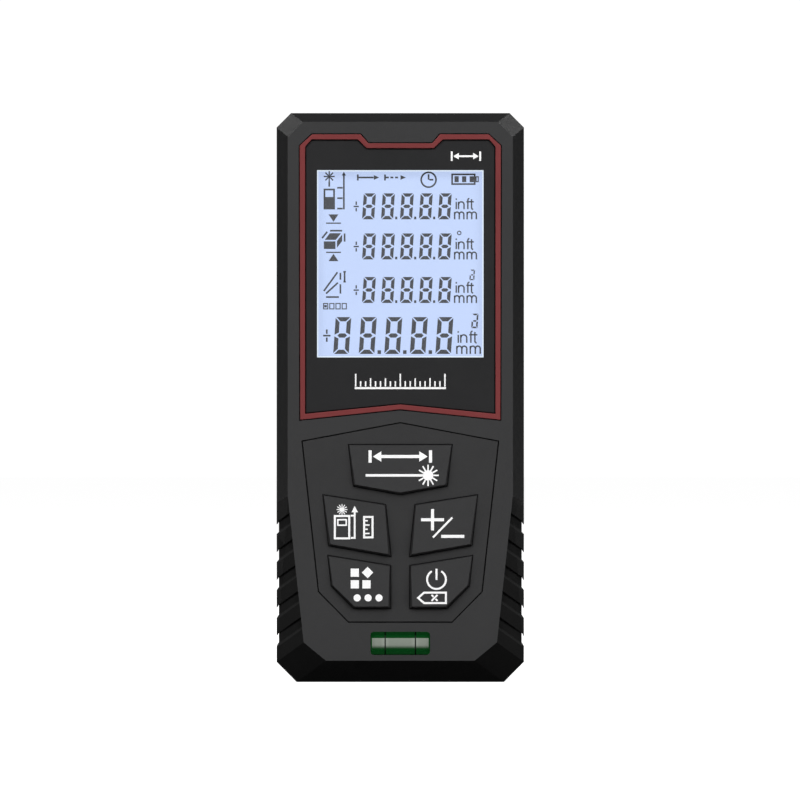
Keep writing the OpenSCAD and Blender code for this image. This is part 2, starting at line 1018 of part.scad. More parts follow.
// The contact plates at both ends of the bay
module battery_contacts() {
    plate_x = 4.6;
    plate_y = 4;
    color("silver") {
        for (side = [-1, 1])
            block(
                [side * cell_x - plate_x, cell_y - plate_y, bay_z1 - plate_t],
                [side * cell_x + plate_x, cell_y + plate_y, bay_z1]
            );
        block(
            [-cell_x - plate_x, cell_y - plate_y, bay_z0],
            [cell_x + plate_x, cell_y + plate_y, bay_z0 + plate_t]
        );
    }
}

// The door over the cells, rounded at its hinged edge
module battery_door() {
    color("#262626")
        difference() {
            union() {
                block([-door_x, door_y, door_z0], [door_x, back_y, door_hinge_z]);
                bar_x(door_y + door_t / 2, door_hinge_z, door_t / 2, -door_x, door_x);
            }
            for (i = [0:door_rib_count - 1])
                translate([0, back_y - 0.4, door_z0 + 2 + i * door_rib_pitch])
                    block([-door_rib_w / 2, 0, 0], [door_rib_w / 2, 1, door_rib_h]);
        }
}

// The foam strip that keeps the cells from rattling
module door_foam() {
    color("#303030")
        block([-9, door_y - foam_t, 30], [9, door_y, 44]);
}

// The cradle behind the vial
module vial_holder() {
    color("#e8e8e0")
        difference() {
            block(
                [-cradle_x, vial_y + 0.6, vial_z - vial_r],
                [cradle_x, cradle_y1, vial_z + vial_r]
            );
            bar_x(vial_y, vial_z, vial_r + 0.02, -vial_l / 2 - clearance, vial_l / 2 + clearance);
            bar_x(vial_y, vial_z, vial_bore_r, -cradle_x + 0.4, cradle_x - 0.4);
        }
}

// The clear tube of the vial
module vial_tube() {
    color("palegreen", 0.4)
        difference() {
            bar_x(vial_y, vial_z, vial_r, -vial_l / 2, vial_l / 2);
            bar_x(vial_y, vial_z, vial_bore_r, -vial_l, vial_l);
        }
}

// The channel that the bubble drifts along, towards the front of the vial
module bubble_path(x, r) {
    bar_x(vial_y - bubble_rise, vial_z, r, -x, x);
    for (side = [-1, 1])
        translate([side * x, vial_y - bubble_rise, vial_z])
            sphere(r = r);
}

// The liquid in the vial
module vial_fluid() {
    color("#2e8b3d", 0.7)
        difference() {
            bar_x(vial_y, vial_z, vial_bore_r, -plug_x, plug_x);
            bubble_path(bubble_half_l + bubble_drift + clearance, bubble_r + clearance);
        }
}

// The two plugs that close the vial
module vial_plugs() {
    color("#143c1c")
        for (side = [-1, 1])
            translate([side * (plug_x + plug_l / 2), 0, 0])
                bar_x(vial_y, vial_z, vial_bore_r, -plug_l / 2, plug_l / 2);
}

// The two rings that the bubble is read against
module vial_lines() {
    color("#101010")
        for (side = [-1, 1])
            difference() {
                translate([side * vial_line_x, 0, 0])
                    bar_x(vial_y, vial_z, vial_r + 0.04, -vial_line_t / 2, vial_line_t / 2);
                bar_x(vial_y, vial_z, vial_r, -vial_l, vial_l);
                block([-vial_l, vial_y + 0.3, 0], [vial_l, 0, 2 * vial_z]);
            }
}

// The bubble
module vial_bubble() {
    color("#dff5e0", 0.8)
        bubble_path(bubble_half_l, bubble_r);
}

front_cover();
rear_cover();
left_grip();
right_grip();
base_bumper();
shell_seal();
case_screws();
rear_label();
lanyard_bar();
trim_ring();
display_bezel();
display_lens();
window_gasket();
lcd_glass();
lcd_backlight();
lcd_ribbon();
keypad_panel();
measure_key();
reference_key();
plus_minus_key();
function_key();
power_key();
snap_domes();
main_board();
board_chips();
board_screws();
buzzer();
optics_block();
receiver_lens();
lens_retainer();
laser_barrel();
collimator_lens();
laser_diode();
sensor_board();
photodiode();
shield_can();
end_bezel();
end_glass();
battery_left();
battery_right();
battery_springs();
battery_contacts();
battery_door();
door_foam();
vial_holder();
vial_tube();
vial_fluid();
vial_plugs();
vial_lines();
vial_bubble();
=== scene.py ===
"""A handheld laser distance meter: finishes, printed marks and studio round its CAD frame.

Sizes and places are in millimetres, and are multiplied by MM where Blender takes metres.
"""
import math

import bmesh
import bpy
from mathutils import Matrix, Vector

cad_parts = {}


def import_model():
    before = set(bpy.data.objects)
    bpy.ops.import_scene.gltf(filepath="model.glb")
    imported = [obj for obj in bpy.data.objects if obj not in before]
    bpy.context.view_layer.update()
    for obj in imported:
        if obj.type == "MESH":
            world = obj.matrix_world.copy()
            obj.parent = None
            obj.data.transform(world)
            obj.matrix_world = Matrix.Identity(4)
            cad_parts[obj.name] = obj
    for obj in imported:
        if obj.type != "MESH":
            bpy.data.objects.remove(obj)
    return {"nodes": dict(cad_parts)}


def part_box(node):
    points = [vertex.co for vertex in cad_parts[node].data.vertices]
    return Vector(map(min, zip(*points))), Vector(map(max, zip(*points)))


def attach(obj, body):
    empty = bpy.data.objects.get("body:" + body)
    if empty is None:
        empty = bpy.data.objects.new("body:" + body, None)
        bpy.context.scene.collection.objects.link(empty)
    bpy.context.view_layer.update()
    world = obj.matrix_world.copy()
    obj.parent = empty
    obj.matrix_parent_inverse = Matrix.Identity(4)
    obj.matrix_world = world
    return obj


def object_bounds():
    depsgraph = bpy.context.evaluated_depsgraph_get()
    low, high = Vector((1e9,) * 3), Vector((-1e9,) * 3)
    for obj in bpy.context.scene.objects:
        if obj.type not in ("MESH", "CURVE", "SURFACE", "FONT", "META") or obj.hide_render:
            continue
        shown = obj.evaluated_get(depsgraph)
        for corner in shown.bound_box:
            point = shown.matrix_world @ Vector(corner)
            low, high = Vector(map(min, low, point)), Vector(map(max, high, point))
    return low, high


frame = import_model()
CAD_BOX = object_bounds()
NODES = frame["nodes"]
KEYS = ("measure_key", "reference_key", "plus_minus_key", "function_key", "power_key")
MM = 0.001

# Depths of the key tops, the front face, the display and the back, and where the sides stand
KEY_Y = CAD_BOX[0].y / MM
FRONT_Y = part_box("keypad_panel")[0].y / MM
LCD_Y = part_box("lcd_glass")[0].y / MM
BACK_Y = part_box("rear_cover")[1].y / MM
SIDE_X = CAD_BOX[1].x / MM


# ---------------------------------------------------------------- material building

class Shader:
    """A material's node tree with one Principled shader, built up by short calls."""

    def __init__(self, name, color, roughness, metallic=0.0, specular=0.5):
        self.material = bpy.data.materials.new(name)
        self.material.use_nodes = True
        self.tree = self.material.node_tree
        self.surface = self.tree.nodes["Principled BSDF"]
        self.surface.inputs["Base Color"].default_value = (*color, 1)
        self.surface.inputs["Roughness"].default_value = roughness
        self.surface.inputs["Metallic"].default_value = metallic
        self.surface.inputs["Specular IOR Level"].default_value = specular
        self.place = self.node("ShaderNodeTexCoord").outputs["Object"]
        self.painted = None

    def node(self, kind, **settings):
        """A new node of a kind, with its settings."""
        made = self.tree.nodes.new(kind)
        for key, value in settings.items():
            setattr(made, key, value)
        return made

    def link(self, value, target):
        """Gives an input another node's output, or a colour or number that stays the same."""
        if isinstance(value, tuple):
            target.default_value = (*value, 1)
        elif isinstance(value, (int, float)):
            target.default_value = value
        else:
            self.tree.links.new(value, target)

    def math(self, operation, first, second=0.0):
        """The result of a sum on numbers or outputs."""
        made = self.node("ShaderNodeMath", operation=operation)
        self.link(first, made.inputs[0])
        self.link(second, made.inputs[1])
        return made.outputs[0]

    def axis(self, letter):
        """One coordinate of the surface's own place, in millimetres."""
        split = self.node("ShaderNodeSeparateXYZ")
        self.link(self.place, split.inputs[0])
        return self.math("MULTIPLY", split.outputs[letter], 1 / MM)

    def noise(self, size_mm, detail=2.0, stretch=(1, 1, 1)):
        """Soft noise from 0 to 1 whose blotches are about size_mm across."""
        mapping = self.node("ShaderNodeMapping")
        mapping.inputs["Scale"].default_value = stretch
        self.link(self.place, mapping.inputs["Vector"])
        texture = self.node("ShaderNodeTexNoise")
        texture.inputs["Scale"].default_value = 1 / (size_mm * MM)
        texture.inputs["Detail"].default_value = detail
        self.link(mapping.outputs[0], texture.inputs["Vector"])
        return texture.outputs["Fac"]

    def grain(self, size_mm):
        """Sharp-edged cells, as spark-eroded moulds leave on plastic."""
        texture = self.node("ShaderNodeTexVoronoi", feature="F1")
        texture.inputs["Scale"].default_value = 1 / (size_mm * MM)
        self.link(self.place, texture.inputs["Vector"])
        return texture.outputs["Distance"]

    def spread(self, value, low, high):
        """A value from 0 to 1 spread over low to high."""
        made = self.node("ShaderNodeMapRange")
        made.inputs["To Min"].default_value = low
        made.inputs["To Max"].default_value = high
        self.link(value, made.inputs["Value"])
        return made.outputs[0]

    def mix(self, factor, first, second):
        """A colour between two, which are tuples or outputs."""
        made = self.node("ShaderNodeMix", data_type="RGBA")
        self.link(factor, made.inputs["Factor"])
        self.link(first, made.inputs[6])
        self.link(second, made.inputs[7])
        return made.outputs[2]

    def clouded(self, color, share, size_mm=9.0, detail=3.0):
        """A colour that goes up and down by a share of itself, in soft blotches."""
        return self.mix(self.noise(size_mm, detail), scaled(color, 1 - share), scaled(color, 1 + share))

    def paint(self, output):
        """Makes an output the base colour."""
        self.painted = output
        self.link(output, self.surface.inputs["Base Color"])

    def paint_over(self, factor, over):
        """Covers the base colour with another, as far as the factor says."""
        self.paint(self.mix(factor, self.painted, over))

    def roughness(self, output):
        """Makes an output the roughness."""
        self.link(output, self.surface.inputs["Roughness"])

    def bump(self, height, depth_mm):
        """Raises the surface by up to depth_mm."""
        made = self.node("ShaderNodeBump")
        made.inputs["Distance"].default_value = depth_mm * MM
        self.link(height, made.inputs["Height"])
        self.link(made.outputs[0], self.surface.inputs["Normal"])

    def glow(self, color, strength):
        """Makes the surface give off light of its own."""
        self.link(color, self.surface.inputs["Emission Color"])
        self.link(strength, self.surface.inputs["Emission Strength"])


def scaled(color, factor):
    """A colour made lighter or darker."""
    return tuple(channel * factor for channel in color)


def moulded(name, color, roughness, specular=0.3, grain_mm=0.16, depth_mm=0.012, share=0.1):
    """Plastic with the fine grain of an eroded mould, a little uneven in tone."""
    shader = Shader(name, color, roughness, specular=specular)
    shader.paint(shader.clouded(color, share))
    shader.bump(shader.grain(grain_mm), depth_mm)
    return shader


def plastic(name, color, roughness=0.5, **look):
    """Moulded plastic that is a little uneven in its shine too."""
    shader = moulded(name, color, roughness, **look)
    shader.roughness(shader.spread(shader.noise(2.5), roughness - 0.06, roughness + 0.06))
    return shader


def rubber(name, color, specular=0.2):
    """Matt rubber with a soft mottled surface."""
    shader = Shader(name, color, 0.75, specular=specular)
    shader.paint(shader.clouded(color, 0.2, size_mm=3.0, detail=4.0))
    shader.roughness(shader.spread(shader.noise(1.2), 0.66, 0.84))
    shader.bump(shader.noise(0.22, 3.0), 0.02)
    return shader


def metal(name, color, roughness, stretch=(1, 1, 12)):
    """Plated or turned metal with fine lines along it."""
    shader = Shader(name, color, roughness, metallic=1.0)
    lines = shader.noise(0.5, 4.0, stretch)
    shader.paint(shader.mix(lines, scaled(color, 0.85), color))
    shader.roughness(shader.spread(lines, roughness * 0.7, roughness * 1.3))
    shader.bump(lines, 0.004)
    return shader


def clear(name, tint, roughness=0.03, share=0.12, specular=0.5):
    """A polished clear pane, which shows its own tint by the share and what is behind it by the rest."""
    shader = Shader(name, tint, roughness, specular=specular)
    shader.surface.inputs["Alpha"].default_value = share
    shader.roughness(shader.spread(shader.noise(6.0), roughness, roughness + 0.03))
    return shader


# ---------------------------------------------------------------- finishes

FACE = (0.040, 0.040, 0.041)
# Painted shade: the near black of the covers' bevels and sides, which turn away from the light
SIDE = (0.006, 0.006, 0.0063)
BACK = (0.033, 0.033, 0.034)
# How far off a cover's face still counts as the face
FACE_SLACK = 0.03


def case_shell(name, color, outward, depth):
    """Charcoal on a cover's own face, which lies at the given depth, and near black round it, which is
    painted shade on the bevels and sides that turn away from the light.
    """
    shader = moulded(name, color, 0.5, share=0.07)
    past = shader.math("SUBTRACT", shader.axis("Y"), depth)
    on_face = shader.math("GREATER_THAN", shader.math("MULTIPLY", past, outward), -FACE_SLACK)
    sides = shader.clouded(SIDE, 0.15, size_mm=6.0)
    # Painted shade: all but the face is painted near black
    shader.paint(shader.mix(on_face, sides, shader.painted))
    shader.roughness(shader.spread(on_face, 0.40, 0.52))
    return shader


# How far the painted shade from a key's wall reaches over the panel beside it, how dark it gets there,
# and how quickly that fades
KEY_SHADE_REACH = 5.0
KEY_SHADE_TONE = 0.2
KEY_SHADE_POWER = 5.0


def panel_plastic():
    """Case plastic round the keys, painted darker close to their walls as shade."""
    shader = plastic("panel_inset", scaled(FACE, 0.92))
    near_wall = shader.node("ShaderNodeAmbientOcclusion", samples=16)
    near_wall.inputs["Distance"].default_value = KEY_SHADE_REACH * MM
    open_share = shader.math("POWER", near_wall.outputs["AO"], KEY_SHADE_POWER)
    # Painted shade: the panel darkens where the keys' walls hem it in
    shader.paint(shader.mix(open_share, scaled(FACE, KEY_SHADE_TONE), shader.painted))
    return shader


KEY = (0.039, 0.039, 0.040)
# Painted shade: how dark a key's side walls, and its lower walls that face away from the light, are
# painted
KEY_SIDE_SHADE = 0.75
KEY_LOWER_SHADE = 0.5
# Surface directions past which a key's skin is a wall, and a wall faces down
WALL_Y = -0.93
LOWER_Z = -0.25


def key_cap():
    """Key plastic, painted a little darker on its side walls and darker still on its lower walls, as
    shade.
    """
    shader = plastic("key", KEY, 0.48, share=0.07)
    normal = shader.node("ShaderNodeSeparateXYZ")
    shader.link(shader.node("ShaderNodeTexCoord").outputs["Normal"], normal.inputs[0])
    on_wall = shader.math("GREATER_THAN", normal.outputs["Y"], WALL_Y)
    below = shader.math("LESS_THAN", normal.outputs["Z"], LOWER_Z)
    walls = shader.mix(below, scaled(KEY, KEY_SIDE_SHADE), scaled(KEY, KEY_LOWER_SHADE))
    # Painted shade on the key's walls
    shader.paint_over(on_wall, walls)
    return shader


GRIP = (0.0075, 0.0075, 0.0075)
# The painted highlight along each groove's lower edge, where a sloped wall would catch the light from
# above, and how high it reaches
GROOVE_HIGHLIGHT = scaled(GRIP, 2.3)
GROOVE_HIGHLIGHT_H = 0.6
# Height of the top groove's lower edge at the side, the spacing of those below it, and their slope
# in degrees
GROOVE_LOW = 29.6
GROOVE_PITCH = 5.66
GROOVE_SLOPE = 36


def grip_rubber():
    """Matt rubber, with a painted highlight along the lower edge of every groove."""
    shader = rubber("grip", GRIP, 0.12)
    inward = shader.math("SUBTRACT", SIDE_X, shader.math("ABSOLUTE", shader.axis("X")))
    rise = shader.math("MULTIPLY", inward, math.tan(math.radians(GROOVE_SLOPE)))
    level = shader.math("SUBTRACT", shader.axis("Z"), rise)
    above = shader.math("SUBTRACT", level, GROOVE_LOW)
    turn = shader.math("FRACT", shader.math("DIVIDE", above, GROOVE_PITCH))
    highlighted = shader.math("LESS_THAN", turn, GROOVE_HIGHLIGHT_H / GROOVE_PITCH)
    in_range = shader.math("LESS_THAN", above, GROOVE_PITCH / 2)
    # Painted highlight on the lower edge of each groove
    shader.paint_over(shader.math("MULTIPLY", highlighted, in_range), GROOVE_HIGHLIGHT)
    return shader


# How far below the tops of the screws the painted shade in their crosses starts
CROSS_SHADE_DEPTH = 0.15


def screw_steel():
    """Dark plated screws, with painted shade in their crosses."""
    color = (0.30, 0.30, 0.31)
    shader = metal("screw", color, 0.32)
    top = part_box("case_screws")[1].y / MM
    sunk = shader.math("LESS_THAN", shader.axis("Y"), top - CROSS_SHADE_DEPTH)
    # Painted shade: the crosses are painted near black below the screws' tops
    shader.paint_over(sunk, scaled(color, 0.08))
    return shader


# The display's window, and the width of the brighter line round its edge
WINDOW_WIDE = 33.6
WINDOW_LOW = 65.6
WINDOW_HIGH = 103.4
LCD_RIM = 0.22


def lcd():
    """Backlit glass with a thin brighter line round the edge of its window."""
    pale = (0.50, 0.61, 0.88)
    shader = Shader("lcd", scaled(pale, 0.2), 0.25, specular=0.1)
    middle = (WINDOW_LOW + WINDOW_HIGH) / 2
    beside = shader.math("ABSOLUTE", shader.axis("X"))
    above = shader.math("ABSOLUTE", shader.math("SUBTRACT", shader.axis("Z"), middle))
    at_side = shader.math("GREATER_THAN", beside, WINDOW_WIDE / 2 - LCD_RIM)
    at_end = shader.math("GREATER_THAN", above, middle - WINDOW_LOW - LCD_RIM)
    rim = shader.math("MAXIMUM", at_side, at_end)
    lit = shader.clouded(pale, 0.05, size_mm=30.0, detail=1.0)
    shader.glow(shader.mix(rim, lit, (0.80, 0.90, 1.0)), strength=0.97)
    return shader


def white_ink():
    """Bright white ink, printed thickly enough to hide what is under it, with a faint glow of painted
    light.
    """
    white = (0.90, 0.90, 0.90)
    shader = plastic("print_white", white, 0.6, specular=0.2, grain_mm=0.4, depth_mm=0.003)
    # Painted light: the ink glows a little, to show brighter than the lamps light it
    shader.glow(white, strength=0.22)
    return shader


# Where the vial's lines stand and its painted highlight ends, to each side of the middle
VIAL_LINE_X = 3.05
HIGHLIGHT_END_X = 5.7
# Heights on the vial, from its axis, where the painted highlight fades in from below, is full, and stops
HIGHLIGHT_FOOT = -1.15
HIGHLIGHT_FULL = -0.25
HIGHLIGHT_TOP = 1.05


def vial_tint(shader, level):
    """Deep green, with a painted highlight: the pale band that a round filled tube reflects along its
    middle.
    """
    deep = scaled((0.003, 0.052, 0.009), level)
    dull = scaled((0.24, 0.27, 0.23), level)
    bright = scaled((0.30, 0.33, 0.29), level)
    beside = shader.math("ABSOLUTE", shader.axis("X"))
    from_line = shader.math("ABSOLUTE", shader.math("SUBTRACT", beside, VIAL_LINE_X))
    # Painted highlight, brightest next to the lines
    across = shader.mix(from_line, bright, dull)
    low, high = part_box("vial_tube")
    height = shader.math("SUBTRACT", shader.axis("Z"), (low.z + high.z) / 2 / MM)
    within = shader.math("MULTIPLY", shader.math("LESS_THAN", height, HIGHLIGHT_TOP),
                         shader.math("LESS_THAN", beside, HIGHLIGHT_END_X))
    rise = shader.node("ShaderNodeMapRange", interpolation_type="SMOOTHSTEP")
    rise.inputs["From Min"].default_value = HIGHLIGHT_FOOT
    rise.inputs["From Max"].default_value = HIGHLIGHT_FULL
    shader.link(height, rise.inputs["Value"])
    return shader.mix(shader.math("MULTIPLY", within, rise.outputs[0]), deep, across)


def vial_part(name, alpha):
    """Green spirit, or the clear wall that its bent image fills, glowing with painted light in place of
    daylight passing through.
    """
    shader = Shader(name, (0.002, 0.036, 0.006), 0.15, specular=0.1)
    shader.paint(vial_tint(shader, level=0.45))
    # Painted light: the vial glows in its own tint
    shader.glow(vial_tint(shader, level=0.6), strength=1.0)
    shader.surface.inputs["Alpha"].default_value = alpha
    return shader


FINISHES = {
    "case_front": case_shell("case_front", FACE, -1, FRONT_Y),
    "case_rear": case_shell("case_rear", BACK, 1, BACK_Y),
    "panel_inset": panel_plastic(),
    "key": key_cap(),
    "grip": grip_rubber(),
    "screw": screw_steel(),
    "lcd": lcd(),
    "print_white": white_ink(),
    "vial_wall": vial_part("vial_wall", 0.8),
    "liquid": vial_part("vial_liquid", 1.0),
    "door": plastic("door", scaled(BACK, 1.1), 0.52),
    "trim": plastic("trim", (0.215, 0.041, 0.042), 0.42, grain_mm=0.3, depth_mm=0.004),
    "panel": plastic("panel", (0.021, 0.021, 0.022), 0.45, specular=0.25, grain_mm=0.3, depth_mm=0.002),
    "label": plastic("label", (0.060, 0.060, 0.062), 0.38, specular=0.4, grain_mm=0.6, depth_mm=0.003),
    "segment": plastic("segment", (0.060, 0.062, 0.072), 0.5, specular=0.1, grain_mm=0.4, depth_mm=0.002),
    "board": plastic("board", (0.012, 0.11, 0.035), 0.35, specular=0.5, grain_mm=1.2, depth_mm=0.02),
    "white": plastic("white", (0.80, 0.81, 0.78)),
    "ribbon": plastic("ribbon", (0.42, 0.17, 0.03), 0.35),
    "inner": plastic("inner", (0.014, 0.014, 0.014)),
    "line": plastic("line", (0.003, 0.010, 0.004), 0.4),
    "plug": plastic("plug", (0.006, 0.045, 0.012), 0.4),
    "bumper": rubber("bumper", (0.0055, 0.0055, 0.0055), 0.05),
    "soft_black": rubber("soft_black", (0.018, 0.018, 0.018)),
    "steel": metal("steel", (0.62, 0.62, 0.64), 0.3),
    "brass": metal("brass", (0.72, 0.50, 0.20), 0.28, stretch=(1, 1, 8)),
    "jacket": metal("jacket", (0.42, 0.24, 0.05), 0.32, stretch=(1, 1, 3)),
    "lens_pane": clear("lens_pane", (0.9, 0.95, 1.0), share=0.03),
    "coated_glass": clear("coated_glass", (0.10, 0.05, 0.30), 0.05, share=0.55, specular=0.4),
    "dark_glass": clear("dark_glass", (0.010, 0.006, 0.012), 0.12, share=0.7, specular=0.05),
    "bubble": clear("bubble", (0.45, 0.70, 0.45), 0.02, share=0.06),
}

NODE_FINISH = {
    "front_cover": "case_front", "keypad_panel": "panel_inset", "rear_cover": "case_rear",
    "battery_door": "door", "end_bezel": "inner", "left_grip": "grip", "right_grip": "grip",
    "base_bumper": "bumper", "shell_seal": "soft_black", "window_gasket": "soft_black",
    "door_foam": "soft_black", "trim_ring": "trim", "display_bezel": "panel",
    "display_lens": "lens_pane", "lcd_glass": "lcd", "lcd_backlight": "white",
    "vial_holder": "white", "lcd_ribbon": "ribbon", "case_screws": "screw", "rear_label": "label",
    "lanyard_bar": "steel", "board_screws": "steel", "snap_domes": "steel",
    "shield_can": "steel", "battery_springs": "steel", "battery_contacts": "steel",
    "main_board": "board", "sensor_board": "board", "board_chips": "inner", "buzzer": "inner",
    "optics_block": "inner", "lens_retainer": "inner", "receiver_lens": "coated_glass",
    "collimator_lens": "coated_glass", "end_glass": "dark_glass", "laser_barrel": "brass",
    "laser_diode": "brass", "photodiode": "brass", "battery_left": "jacket",
    "battery_right": "jacket", "vial_tube": "vial_wall", "vial_bubble": "bubble",
    "vial_fluid": "liquid", "vial_plugs": "plug", "vial_lines": "line",
    **{key: "key" for key in KEYS},
}

# How widely each moulded piece's sharp edges are rounded
SOFT_EDGES = {
    "front_cover": 0.12, "rear_cover": 0.3, "base_bumper": 0.2, "left_grip": 0.2, "right_grip": 0.2,
    "keypad_panel": 0.06, "trim_ring": 0.12, "display_bezel": 0.06, "battery_door": 0.2,
    "end_bezel": 0.15, "battery_left": 0.2, "battery_right": 0.2,
    **{key: 0.1 for key in KEYS},
}
SHARP_ANGLE = 25
WELD_DISTANCE = 0.001


def soften(piece, width_mm):
    """Rounds a CAD node's sharp edges, as its mould does."""
    weld = piece.modifiers.new("weld", "WELD")
    weld.merge_threshold = WELD_DISTANCE * MM
    bevel = piece.modifiers.new("soft_edges", "BEVEL")
    bevel.width = width_mm * MM
    bevel.segments = 2
    bevel.limit_method = "ANGLE"
    bevel.angle_limit = math.radians(SHARP_ANGLE)
    bevel.use_clamp_overlap = True


def finish_nodes():
    """Gives every CAD node its finish and its soft edges."""
    for name, piece in NODES.items():
        piece.data.materials.clear()
        piece.data.materials.append(FINISHES[NODE_FINISH[name]].material)
    for name, width_mm in SOFT_EDGES.items():
        soften(NODES[name], width_mm)


finish_nodes()


# ---------------------------------------------------------------- flat shapes, as lists of x and z

# The least squared length that a corner's averaged normal may count as, so sharp mitres stay short
SHARPEST = 0.2


def ribbon(points, width, closed=False):
    """The quads of a line of even width, mitred at its corners."""
    count = len(points)
    sides = []
    for i, point in enumerate(points):
        before = points[i - 1] if closed or i > 0 else None
        after = points[(i + 1) % count] if closed or i < count - 1 else None
        runs = []
        for start, end in ((before, point), (point, after)):
            if start is not None and end is not None:
                length = math.dist(start, end)
                runs.append(((end[0] - start[0]) / length, (end[1] - start[1]) / length))
        normals = [(-run[1], run[0]) for run in runs]
        across = [sum(normal[axis] for normal in normals) / len(normals) for axis in (0, 1)]
        scale = width / 2 / max(across[0] ** 2 + across[1] ** 2, SHARPEST)
        shift = (across[0] * scale, across[1] * scale)
        sides.append([(point[0] + s * shift[0], point[1] + s * shift[1]) for s in (1, -1)])
    last = count if closed else count - 1
    quads = []
    for i in range(last):
        here, there = sides[i], sides[(i + 1) % count]
        quads.append([here[0], here[1], there[1], there[0]])
    return quads


def arc(center, radius, start, end, steps=16):
    """Points round part of a circle, with angles in degrees."""
    angles = [math.radians(start + (end - start) * i / steps) for i in range(steps + 1)]
    return [(center[0] + radius * math.cos(a), center[1] + radius * math.sin(a)) for a in angles]


def disc(center, radius, steps=28):
    """A filled circle."""
    return [arc(center, radius, 0, 360, steps)[:-1]]


def ring(center, radius, width, steps=32):
    """A circle drawn as a line."""
    return ribbon(arc(center, radius, 0, 360, steps)[:-1], width, closed=True)


def rectangle(x0, z0, x1, z1):
    """A filled rectangle between two corners."""
    return [[(x0, z0), (x1, z0), (x1, z1), (x0, z1)]]


def frame_line(x0, z0, x1, z1, width):
    """The outline of a rectangle, inside its own edges."""
    inset = width / 2
    corners = [(x0 + inset, z0 + inset), (x1 - inset, z0 + inset), (x1 - inset, z1 - inset),
               (x0 + inset, z1 - inset)]
    return ribbon(corners, width, closed=True)


def starburst(center, core, reach, rays, width):
    """A round core with even rays, which start just off it."""
    shapes = disc(center, core)
    start = core * 1.02
    for i in range(rays):
        angle = 2 * math.pi * i / rays
        ends = [(center[0] + r * math.cos(angle), center[1] + r * math.sin(angle))
                for r in (start, reach)]
        shapes += ribbon(ends, width)
    return shapes


def arrow_head(tip, direction, length, width):
    """A solid triangle that points along a unit direction."""
    back = (tip[0] - direction[0] * length, tip[1] - direction[1] * length)
    side = (-direction[1] * width / 2, direction[0] * width / 2)
    return [[tip, (back[0] + side[0], back[1] + side[1]), (back[0] - side[0], back[1] - side[1])]]


def span_arrow(x0, x1, z, bar_h, line, head, head_h):
    """A two-headed arrow between two end bars."""
    shapes = rectangle(x0, z - bar_h / 2, x0 + line, z + bar_h / 2)
    shapes += rectangle(x1 - line, z - bar_h / 2, x1, z + bar_h / 2)
    gap = line * 1.4
    left, right = x0 + gap, x1 - gap
    shapes += arrow_head((left, z), (-1, 0), head, head_h)
    shapes += arrow_head((right, z), (1, 0), head, head_h)
    shapes += rectangle(left + head, z - line / 2, right - head, z + line / 2)
    return shapes


# How far a figure leans to the right for each millimetre of its height
LEAN = 0.068


def digit(x, z, width, height, stroke, gap, lit=7):
    """A leaning figure of seven bars with mitred ends, of which the first few are lit."""
    middle = height / 2
    half = stroke / 2
    inner = width - stroke
    bars = [
        [(gap, height), (width - gap, height), (inner - gap, height - stroke),
         (stroke + gap, height - stroke)],
        [(half + gap, middle), (stroke + gap, middle + half), (inner - gap, middle + half),
         (width - half - gap, middle), (inner - gap, middle - half), (stroke + gap, middle - half)],
    ]
    side = [(0, height - gap), (stroke, height - stroke - gap), (stroke, middle + half + gap),
            (0, middle + gap)]
    flip_z = [[(px, height - pz) for px, pz in shape] for shape in (bars[0], side)]
    bars += [*flip_z, *([(width - px, pz) for px, pz in shape] for shape in (side, flip_z[1])), side]
    return [[(x + px + LEAN * pz, z + pz) for px, pz in shape] for shape in bars[:lit]]


# For each letter that the unit symbols need, how far on the next letter starts, and the letter's own
# strokes, as if a small letter were 1 high
LETTERS = {
    "i": (0.38, [[(0.07, 0), (0.07, 1)], [(0.07, 1.25), (0.07, 1.45)]]),
    "n": (1.05, [[(0, 0), (0, 1)], [(0, 0.6), *arc((0.37, 0.62), 0.37, 150, 0, 8), (0.74, 0)]]),
    "f": (0.5, [[(0.2, 0), (0.2, 1.2), *arc((0.42, 1.22), 0.22, 165, 90, 4)],
                [(0, 1), (0.15, 1)], [(0.25, 1), (0.5, 1)]]),
    "t": (0.5, [[(0.2, 1.35), (0.2, 0.2), *arc((0.42, 0.2), 0.22, 195, 270, 4)],
                [(0, 1), (0.15, 1)], [(0.25, 1), (0.5, 1)]]),
    "m": (1.68, [[(0, 0), (0, 1)], [(0, 0.65), *arc((0.31, 0.67), 0.31, 150, 0, 8), (0.62, 0)],
                 [(0.66, 0.65), *arc((0.93, 0.67), 0.31, 150, 0, 8), (1.24, 0)]]),
}


def unit(symbol, x, z, height, width):
    """A unit's short symbol, such as mm, in plain strokes."""
    shapes = []
    for letter in symbol:
        advance, lines = LETTERS[letter]
        for line in lines:
            shapes += ribbon([(x + px * height, z + pz * height) for px, pz in line], width)
        x += advance * height
    return shapes


# How far a mark stands proud of its surface and reaches into it, and how close corners are joined
MARK_PROUD = 0.03
MARK_SUNK = 0.01
JOIN_DISTANCE = 0.004


